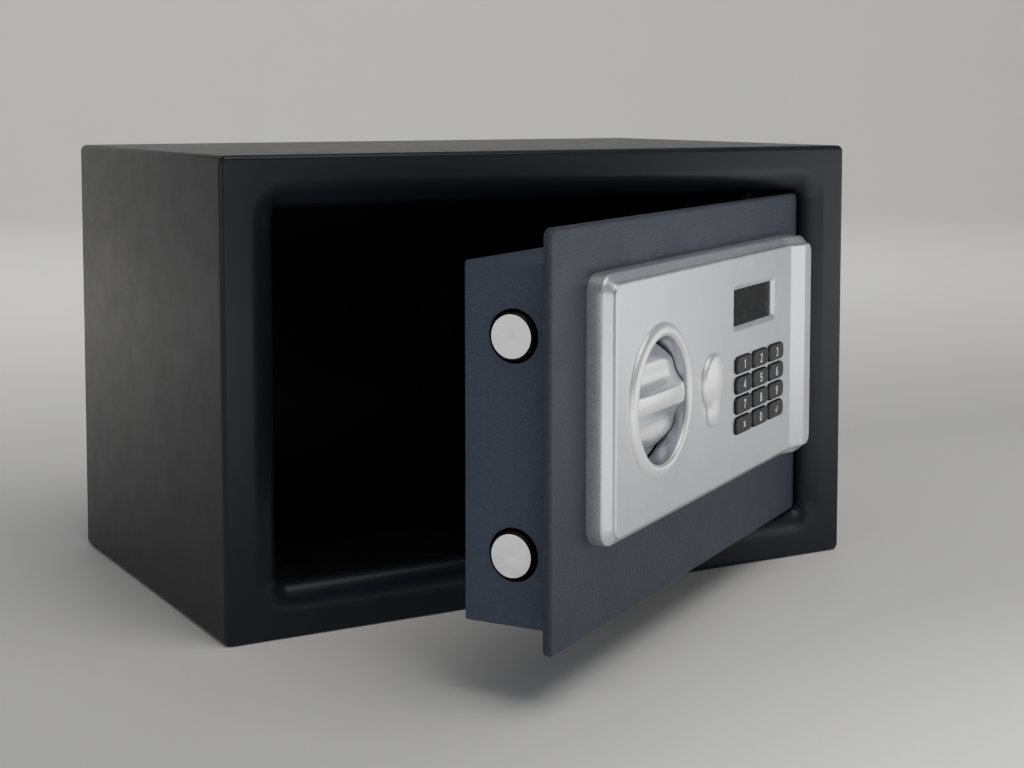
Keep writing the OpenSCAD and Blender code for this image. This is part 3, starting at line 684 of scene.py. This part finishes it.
def bolt(node):
    """Turned bar: a faced end with a centre mark, a rounded chamfer, and a spigot at the back."""
    low, high = extent(node, DOOR)
    radius = (high.y - low.y) / 2
    length = high.x - low.x
    shoulder = length - BOLT_SPIGOT
    face = [(0, 0.18), (0.5, 0.16), (0.9, 0.02), (3.0, 0.01), (radius - 1.3, 0.04)]
    chamfer = [(radius - 0.95, 0.1), (radius - 0.75, 0.3), (radius - 0.2, 1.1),
               (radius - 0.05, 1.4), (radius, 1.8)]
    bar_end = [(radius, shoulder - 0.3), (radius - 0.3, shoulder)]
    spigot = [(BOLT_SPIGOT_RADIUS, shoulder), (BOLT_SPIGOT_RADIUS, length - 0.3),
              (BOLT_SPIGOT_RADIUS - 0.3, length), (0, length)]
    space = along_door((low.x, (low.y + high.y) / 2, (low.z + high.z) / 2))
    obj = piece(node + "_bar", lathe(face + chamfer + bar_end + spigot, space), "bolts",
                MATERIALS["bolt_steel"], replaces=[node], sharp=28)
    weigh_normals(obj)


# ---- Control panel -------------------------------------------------------------------------

# Heights are from the door's front. A profile is (inset from the outline, height) points.
PANEL_CORNER = 8.0
PANEL_WALL = 2.5
PANEL_FLANGE = 5.0
FACE_HEIGHT = 10.6
SIDE_HEIGHT = 6.2
PANEL_PROFILE = ((0.0, 0.0), (0.0, 5.6), (0.1, 6.15), (0.42, 6.65), (0.95, 7.1), (2.95, 8.95),
                 (3.2, 9.25), (3.32, 9.6), (3.4, 10.05), (3.6, 10.35), (4.0, 10.53),
                 (4.6, FACE_HEIGHT), (PANEL_FLANGE, FACE_HEIGHT))
# Raised end: where the ramp starts from the right, its run and rise, and the cuts that bend it.
RIM_FOOT = 23.0
RIM_RUN = 10.0
RIM_RISE = 3.2
RIM_CUTS = 28
RIM_MARGIN = 1.2
# Keys and display window.
KEY_SLACK = 0.3
KEY_FLANGE = 0.5
KEY_CORNER = 3.2
WINDOW_CORNER = 0.9
WINDOW_BEVEL = 2.1
# Knob: its ring, the sheet of painted shade on the ring's inner wall, and the dial.
KNOB_HOLE = 26.5
RING_INSIDE = 25.0
SHADE_SHEET = 0.25
DIAL_RADIUS = 23.9
DIAL_BACK = 2.6
DIAL_FLOOR = 7.3
DIAL_EDGE = 0.8
HUB_RADIUS = 8.0
GRIP_RISE = 0.9
GRIP_SCOOP = 8.0
GRIP_SCOOP_AT = 10.4
GRIP_CROWN_ACROSS = 0.02
GRIP_CROWN_ALONG = 0.0012
GRIP_BLEND = 0.7
ROUND_STEPS = 160


def ease(t, blend=0.1):
    """0 to 1 along a straight ramp, with its two ends rounded."""
    if t < blend:
        return max(t + blend, 0) ** 2 / (4 * blend)
    if t > 1 - blend:
        return 1 - max(1 - t + blend, 0) ** 2 / (4 * blend)
    return t


def panel_outer():
    """Panel's outside: stepped and rounded edges, and a raised end that a ramp leads up to."""
    panel = flat_box("control_panel", DOOR)
    rings = [grow(panel, -inset, PANEL_CORNER, height, steps=12) for inset, height in PANEL_PROFILE]
    bm = loft(rings, Matrix.Identity(4))
    foot = panel[2] - RIM_FOOT
    for i in range(RIM_CUTS + 1):
        x = foot - RIM_MARGIN + (RIM_RUN + 2 * RIM_MARGIN) * i / RIM_CUTS
        geometry = bm.verts[:] + bm.edges[:] + bm.faces[:]
        bmesh.ops.bisect_plane(bm, geom=geometry, dist=1e-5, plane_co=(x, 0, 0),
                               plane_no=(1, 0, 0))
    for v in bm.verts:
        v.co.z += RIM_RISE * ease((v.co.x - foot) / RIM_RUN) * min(v.co.z / SIDE_HEIGHT, 1)
    bm.transform(DOOR)
    return bm


def panel_tools():
    """What is cut from the panel: its hollow, and openings for the keys, display, knob and lock."""
    panel = flat_box("control_panel", DOOR)
    tools = []
    for inset, height in ((PANEL_WALL, 5.5), (PANEL_FLANGE, 8.1)):
        tools.append(loft([grow(panel, -inset, PANEL_CORNER, -1),
                           grow(panel, -inset, PANEL_CORNER, height)], DOOR))
    for node in KEY_NODES:
        key = flat_box(node, DOOR)
        by = KEY_SLACK - KEY_FLANGE
        tools.append(loft([grow(key, by, KEY_CORNER, 0), grow(key, by, KEY_CORNER, 20)], DOOR))
    window = flat_box("display_window", DOOR)
    recess = ((0.05, 5), (0.05, 9.2), (WINDOW_BEVEL, FACE_HEIGHT + 0.02), (WINDOW_BEVEL, 14))
    tools.append(loft([grow(window, by, WINDOW_CORNER, height) for by, height in recess], DOOR))
    knob_at = middle("knob_ring", DOOR)
    lock_at = middle("lock_cylinder", DOOR)
    pivot_at = middle("cover_pivot", DOOR)
    tools.append(door_hole(knob_at.x, knob_at.y, KNOB_HOLE, -1, 20, 128))
    tools.append(door_hole(lock_at.x, lock_at.y, LOCK_HOLE, -1, 20))
    tools.append(door_hole(pivot_at.x, pivot_at.y, PIVOT_HOLE, -1, 20))
    return tools


def control_panel():
    """Silver housing of the lock, hollow behind."""
    obj = piece("panel_housing", panel_outer(), "door",
                MATERIALS["panel_silver"], replaces=["control_panel"])
    cut(obj, panel_tools())
    finish_edges(obj, 0.22, 50)


def knob_space():
    """Space whose z axis is the knob's, with the door's own heights."""
    centre = middle("knob_ring", DOOR)
    return DOOR @ Matrix.Translation((centre.x, centre.y, 0))


def knob_ring():
    """Raised ring round the knob, with a rounded crest and a deep inner wall."""
    wall = [(RING_INSIDE, 3.0), (RING_INSIDE, 10.9)]
    crest = [(25.12, 11.6), (25.5, 12.2), (26.1, 12.52), (26.9, 12.6), (27.9, 12.52),
             (28.9, 12.25), (29.7, 11.8), (30.25, 11.25), (30.5, 10.65), (30.5, 10.5)]
    collar = [(KNOB_HOLE, 10.5), (KNOB_HOLE, 3.0)]
    obj = piece("knob_bezel", lathe(wall + crest + collar, knob_space(), ROUND_STEPS), "door",
                MATERIALS["trim_silver"], replaces=["knob_ring"], sharp=50)
    weigh_normals(obj)


def knob_well_shade():
    """Painted shade: a dark sheet on the ring's inner wall, down past the edge of the dial, where the gap round
    the dial lies in shade.
    """
    inside = RING_INSIDE - SHADE_SHEET
    outside = RING_INSIDE + 0.02
    profile = [(inside, 3.1), (inside, 10.9), (inside + 0.1, 11.15),
               (outside, 11.25), (outside, 3.1)]
    piece("knob_well_shade", lathe(profile, knob_space(), ROUND_STEPS), "door",
          MATERIALS["well_shade_paint"], sharp=50)


def grip_height(u, v):
    """Height of the knob's face: a narrow crest that falls in two hollow flanks to the dial."""
    a = abs(v)
    if a >= GRIP_SCOOP_AT:
        height = DIAL_FLOOR
    elif a > GRIP_SCOOP_AT - GRIP_SCOOP:
        hollow = math.sqrt(max(GRIP_SCOOP ** 2 - (GRIP_SCOOP_AT - a) ** 2, 0))
        height = DIAL_FLOOR + GRIP_SCOOP - hollow
    else:
        height = DIAL_FLOOR + GRIP_SCOOP
    crest = FACE_HEIGHT + GRIP_RISE
    crown = crest - GRIP_CROWN_ACROSS * v * v - GRIP_CROWN_ALONG * u * u
    gap = (height - crown) / GRIP_BLEND
    if gap > 1:
        return crown
    if gap < -1:
        return height
    return min(height, crown) - GRIP_BLEND * 0.25 * (1 - abs(gap)) ** 2


def knob():
    """Dial with a grip across it: fine rings over the face, closed by a skirt and a hub."""
    centre = middle("knob", DOOR)
    space = DOOR @ Matrix.Translation((centre.x, centre.y, 0))
    bm = bmesh.new()
    spokes = ROUND_STEPS
    circles = 64
    rows = [[bm.verts.new(space @ Vector((0, 0, grip_height(0, 0))))]]
    for i in range(1, circles + 1):
        r = DIAL_RADIUS * i / circles
        row = []
        for p in circle(0, 0, r, 0, spokes):
            p.z = grip_height(p.x, p.y)
            edge = DIAL_RADIUS - r
            if edge < DIAL_EDGE:
                p.z -= 0.5 * (DIAL_EDGE - edge) ** 2
            row.append(bm.verts.new(space @ p))
        rows.append(row)
    behind = ((DIAL_RADIUS, DIAL_BACK), (HUB_RADIUS, DIAL_BACK), (HUB_RADIUS, 1.6),
              (4.0, 1.6), (4.0, 4.6))
    for r, height in behind:
        rows.append([bm.verts.new(space @ p) for p in circle(0, 0, r, height, spokes)])
    for j in range(spokes):
        bm.faces.new((rows[0][0], rows[1][j], rows[1][(j + 1) % spokes]))
    for low, high in zip(rows[1:], rows[2:]):
        for j in range(spokes):
            k = (j + 1) % spokes
            bm.faces.new((low[j], high[j], high[k], low[k]))
    bm.faces.new(rows[-1])
    bmesh.ops.recalc_face_normals(bm, faces=bm.faces)
    piece("knob_dial", bm, "knob", MATERIALS["dial_silver"],
          replaces=["knob"], sharp=40)


# Key cover: radius of its small lobe, how softly the lobes meet, its rolled edge, and how far
# its outline may lie from the middle.
COVER_FOOT = 6.6
COVER_WAIST = 2.5
COVER_ROLL = 1.6
COVER_EDGE = 1.5
COVER_REACH = 30.0


def key_cover():
    """Pear-shaped cap: two domes that run into each other, with a rolled edge."""
    low, high = extent("key_cover", DOOR)
    big = (high.x - low.x) / 2
    small = COVER_FOOT
    centre_x = (low.x + high.x) / 2
    top_y = high.y - big
    foot_y = low.y + small
    thickness = high.z - low.z

    def distance(x, y):
        upper = math.hypot(x - centre_x, y - top_y) - big
        lower = math.hypot(x - centre_x, y - foot_y) - small
        h = max(COVER_WAIST - abs(upper - lower), 0) / COVER_WAIST
        return min(upper, lower) - h * h * COVER_WAIST * 0.25

    def height(x, y):
        inside = -distance(x, y)
        rolled = min(inside / COVER_ROLL, 1.0)
        edge = COVER_EDGE * math.sqrt(max(1 - (1 - rolled) ** 2, 0))
        upper = 1 - (math.hypot(x - centre_x, y - top_y) / big) ** 2
        lower = 1 - (math.hypot(x - centre_x, y - foot_y) / small) ** 2
        crown = max(upper, 0) * (thickness - COVER_EDGE)
        foot = max(lower, 0) * 1.1 * (1 - max(upper, 0))
        return low.z + edge + (crown + foot)

    start_y = foot_y + 0.55 * small
    spokes = 120
    circles = 26
    outline = []
    for j in range(spokes):
        a = 2 * math.pi * j / spokes
        near = 0.0
        far = COVER_REACH
        for _ in range(30):
            reach = (near + far) / 2
            if distance(centre_x + reach * math.cos(a), start_y + reach * math.sin(a)) < 0:
                near = reach
            else:
                far = reach
        outline.append(Vector((centre_x + near * math.cos(a), start_y + near * math.sin(a), low.z)))
    centre = Vector((centre_x, start_y, 0))
    bm = bmesh.new()
    rows = [[bm.verts.new(DOOR @ p) for p in outline]]
    for i in range(circles - 1, 0, -1):
        share = math.sin(math.pi / 2 * i / circles)
        row = []
        for p in outline:
            q = centre.lerp(p, share)
            q.z = height(q.x, q.y)
            row.append(bm.verts.new(DOOR @ q))
        rows.append(row)
    for outer, inner in zip(rows, rows[1:]):
        for j in range(spokes):
            k = (j + 1) % spokes
            bm.faces.new((outer[j], outer[k], inner[k], inner[j]))
    centre.z = height(centre.x, centre.y)
    tip = bm.verts.new(DOOR @ centre)
    for j in range(spokes):
        bm.faces.new((rows[-1][j], rows[-1][(j + 1) % spokes], tip))
    bm.faces.new(rows[0])
    bmesh.ops.recalc_face_normals(bm, faces=bm.faces)
    piece("lock_cover", bm, "key_cover", MATERIALS["trim_silver"],
          replaces=["key_cover"], sharp=60)


def key_cap(node):
    """One key: a flange, straight sides and a crowned top."""
    low, high = extent(node, DOOR)
    key = flat_box(node, DOOR)
    side = KEY_FLANGE
    top = high.z
    profile = ((0.0, low.z), (0.0, low.z + 0.9), (side, low.z + 0.9), (side, top - 0.75),
               (side + 0.08, top - 0.42), (side + 0.3, top - 0.18), (side + 0.7, top - 0.06),
               (side + 1.4, top), (side + 2.2, top))
    rings = [grow(key, -inset, KEY_CORNER, height, steps=10) for inset, height in profile]
    obj = piece(node + "_cap", loft(rings, DOOR), node, MATERIALS["key_plastic"],
                replaces=[node])
    weigh_normals(obj)


# Printed signs: each is a list of strokes of (x, y) points round the key's middle.
LEGEND_STROKE = 0.55
LEGEND_SQUEEZE = 0.86
LEGEND_MITRE = 0.45
LEGENDS = {
    "key_0": [[(1.15 * x, 2.0 * y) for x, y in arc(0, 0, 1, 0, 360, 24)]],
    "key_1": [[(-0.7, 1.2), (0.2, 2.0), (0.2, -2.0)]],
    "key_2": [arc(0, 0.9, 1.1, 165, -35, 9) + [(-1.1, -2.0), (1.15, -2.0)]],
    "key_3": [arc(0, 0.95, 1.05, 150, -90, 10), arc(0, -1.0, 1.1, 90, -150, 10)],
    "key_4": [[(0.6, -2.0), (0.6, 2.0), (-1.2, -0.8), (1.2, -0.8)]],
    "key_5": [[(1.0, 2.0), (-0.8, 2.0), (-0.95, 0.2)] + arc(-0.05, -0.8, 1.2, 130, -150, 11)],
    "key_6": [[(0.8, 2.0), (-0.2, 1.4), (-0.9, 0.3)], arc(0, -0.9, 1.1, 150, 510, 16)],
    "key_7": [[(-1.15, 2.0), (1.15, 2.0), (-0.3, -2.0)]],
    "key_8": [arc(0, 1.05, 0.9, -90, 270, 14), arc(0, -0.95, 1.1, 90, 450, 16)],
    "key_9": [[(-0.8, -2.0), (0.2, -1.4), (0.9, -0.3)], arc(0, 0.9, 1.1, -30, 330, 16)],
    "key_clear": [[(-1.2, -1.4), (1.2, 1.4)], [(-1.2, 1.4), (1.2, -1.4)]],
    "key_enter": [[(-1.5, 0.1), (-0.4, -1.3), (1.5, 1.5)]],
}


def legend(node):
    """Printed numeral or sign on a key: strokes of paint that stand out by a hair."""
    low, high = extent(node, DOOR)
    centre = (low + high) / 2
    base = high.z - 0.1
    top = high.z + 0.03
    bm = bmesh.new()
    for stroke in LEGENDS[node]:
        points = [Vector((x * LEGEND_SQUEEZE, y * LEGEND_SQUEEZE)) for x, y in stroke]
        rows = []
        for i, p in enumerate(points):
            before = points[max(i - 1, 0)]
            after = points[min(i + 1, len(points) - 1)]
            arriving = (p - before).normalized() if i > 0 else (after - p).normalized()
            leaving = (after - p).normalized() if i < len(points) - 1 else arriving
            across = (arriving + leaving).normalized().orthogonal()
            reach = LEGEND_STROKE / 2 / max(across.dot(arriving.orthogonal()), LEGEND_MITRE)
            row = []
            for side, height in ((1, base), (1, top), (-1, top), (-1, base)):
                q = p + across * (reach * side)
                row.append(bm.verts.new(DOOR @ Vector((centre.x + q.x, centre.y + q.y, height))))
            rows.append(row)
        for a, b in zip(rows, rows[1:]):
            for j in range(4):
                k = (j + 1) % 4
                bm.faces.new((a[j], a[k], b[k], b[j]))
        bm.faces.new(rows[0][::-1])
        bm.faces.new(rows[-1])
    bmesh.ops.recalc_face_normals(bm, faces=bm.faces)
    piece(node + "_legend", bm, node, MATERIALS["trim_silver"])


KEY_NODES = [node for node in frame["nodes"] if node.startswith("key_") and node != "key_cover"]

cabinet_front()
cabinet_wrap()
door_plate()
door_box()
for bolt_node in ("bolt_upper", "bolt_lower"):
    bolt(bolt_node)
control_panel()
knob_ring()
knob_well_shade()
knob()
key_cover()
for key_node in KEY_NODES:
    key_cap(key_node)
    legend(key_node)

REPLACED = {"front_frame", "outer_shell", "door_plate", "door_pan", "bolt_upper", "bolt_lower",
            "control_panel", "knob_ring", "knob", "key_cover", *KEY_NODES}

# The CAD nodes that stay keep their shape and get soft edges, in millimetres.
EDGE_WIDTHS = {"back_panel": 0.6, "floor_mat": 0.6, "inner_cover": 0.35, "battery_cover": 0.5}
WELD_DISTANCE = 0.002
for node, obj in frame["nodes"].items():
    if node in REPLACED:
        continue
    weld = obj.modifiers.new("weld", "WELD")
    weld.merge_threshold = WELD_DISTANCE * MM
    soften(obj, EDGE_WIDTHS.get(node, 0.2), 35)


# ---- Floor, light and camera ---------------------------------------------------------------

FLOOR_RADIUS = 2.6
SWEEP_RADIUS = 1.4
SWEEP_STEPS = 12


def floor():
    """Round pale floor that turns up into a seamless backdrop far from the object."""
    profile = [(1.0, 0.0), (FLOOR_RADIUS, 0.0)]
    for i in range(1, SWEEP_STEPS + 1):
        a = math.radians(90 * i / SWEEP_STEPS)
        profile.append((FLOOR_RADIUS + SWEEP_RADIUS * math.sin(a),
                        SWEEP_RADIUS * (1 - math.cos(a))))
    bm = bmesh.new()
    spokes = 72
    centre = bm.verts.new((0, 0, 0))
    rows = []
    for radius, height in profile:
        rows.append([bm.verts.new((p.x, p.y, height)) for p in circle(0, 0, radius, 0, spokes)])
    for j in range(spokes):
        bm.faces.new((centre, rows[0][j], rows[0][(j + 1) % spokes]))
    for low, high in zip(rows, rows[1:]):
        for j in range(spokes):
            k = (j + 1) % spokes
            bm.faces.new((low[j], high[j], high[k], low[k]))
    mesh = bpy.data.meshes.new("floor")
    bm.to_mesh(mesh)
    bm.free()
    mesh.shade_smooth()
    obj = bpy.data.objects.new("floor", mesh)
    bpy.context.scene.collection.objects.link(obj)
    mesh.materials.append(shelf_surface("shelf", (0.80, 0.79, 0.78)))


def place_light(name, data, place, target, power, color):
    """Puts a light at a place, in metres, and turns it to a target."""
    data.energy = power
    data.color = color
    obj = bpy.data.objects.new(name, data)
    obj.location = place
    obj.rotation_euler = (Vector(target) - Vector(place)).to_track_quat("-Z", "Y").to_euler()
    bpy.context.scene.collection.objects.link(obj)
    return obj


def area_light(name, place, target, size, power, color):
    """Soft rectangular light that the camera doesn't see."""
    data = bpy.data.lights.new(name, "AREA")
    data.shape = "RECTANGLE"
    data.size = size[0]
    data.size_y = size[1]
    place_light(name, data, place, target, power, color).visible_camera = False


def spot_light(name, place, target, angle, blend, power, color):
    """Cone of light, for the bright patch on the floor in front."""
    data = bpy.data.lights.new(name, "SPOT")
    data.spot_size = math.radians(angle)
    data.spot_blend = blend
    data.shadow_soft_size = 0.03
    place_light(name, data, place, target, power, color)


def studio():
    """Even pale world, soft lights round the object, and a light for the backdrop."""
    world = bpy.data.worlds.new("studio")
    world.use_nodes = True
    background = world.node_tree.nodes["Background"]
    background.inputs["Color"].default_value = (0.94, 0.965, 1.0, 1)
    background.inputs["Strength"].default_value = 0.20
    bpy.context.scene.world = world
    area_light("top", (0.25, -0.95, 2.2), (0, 0, 0), (1.7, 1.7), 24, (1.0, 0.985, 0.96))
    area_light("right", (0.6, -0.46, 0.11), (-0.4, -0.46, 0.11), (0.7, 0.2), 1.0, (1.0, 1.0, 1.0))
    area_light("left", (-1.45, -0.45, 0.23), (-0.1, -0.2, 0.1), (0.9, 0.42), 2.6, (0.96, 0.98, 1.0))
    area_light("front", (-0.1, -3.0, 0.25), (0, 0, 0.1), (2.6, 0.45), 7.0, (0.98, 0.99, 1.0))
    area_light("backdrop_light", (0.2, 0.8, 1.5), (0.6, 3.6, 0.3), (2.4, 0.8), 50,
               (1.0, 0.99, 0.97))
    spot_light("pool", (0.6, -2.2, 2.4), (0.2, -1.05, 0), 29, 0.7, 900, (1.0, 0.99, 0.98))


# Camera: focal length in millimetres, place in metres, and how far it looks down and right.
LENS = 61.96
LENS_SHIFT = -0.1455
CAMERA_AT = (-0.4065, -0.7628, 0.2224)
CAMERA_DOWN = 4.41
CAMERA_RIGHT = 29.74


def camera():
    """The photograph's view: fitted to the cabinet's and the door's edges."""
    data = bpy.data.cameras.new("camera")
    data.sensor_width = 36
    data.lens = LENS
    data.shift_y = LENS_SHIFT
    data.clip_start = 0.01
    obj = bpy.data.objects.new("camera", data)
    obj.location = CAMERA_AT
    obj.rotation_euler = (math.radians(90 - CAMERA_DOWN), 0, math.radians(-CAMERA_RIGHT))
    bpy.context.scene.collection.objects.link(obj)
    bpy.context.scene.camera = obj


floor()
studio()
camera()
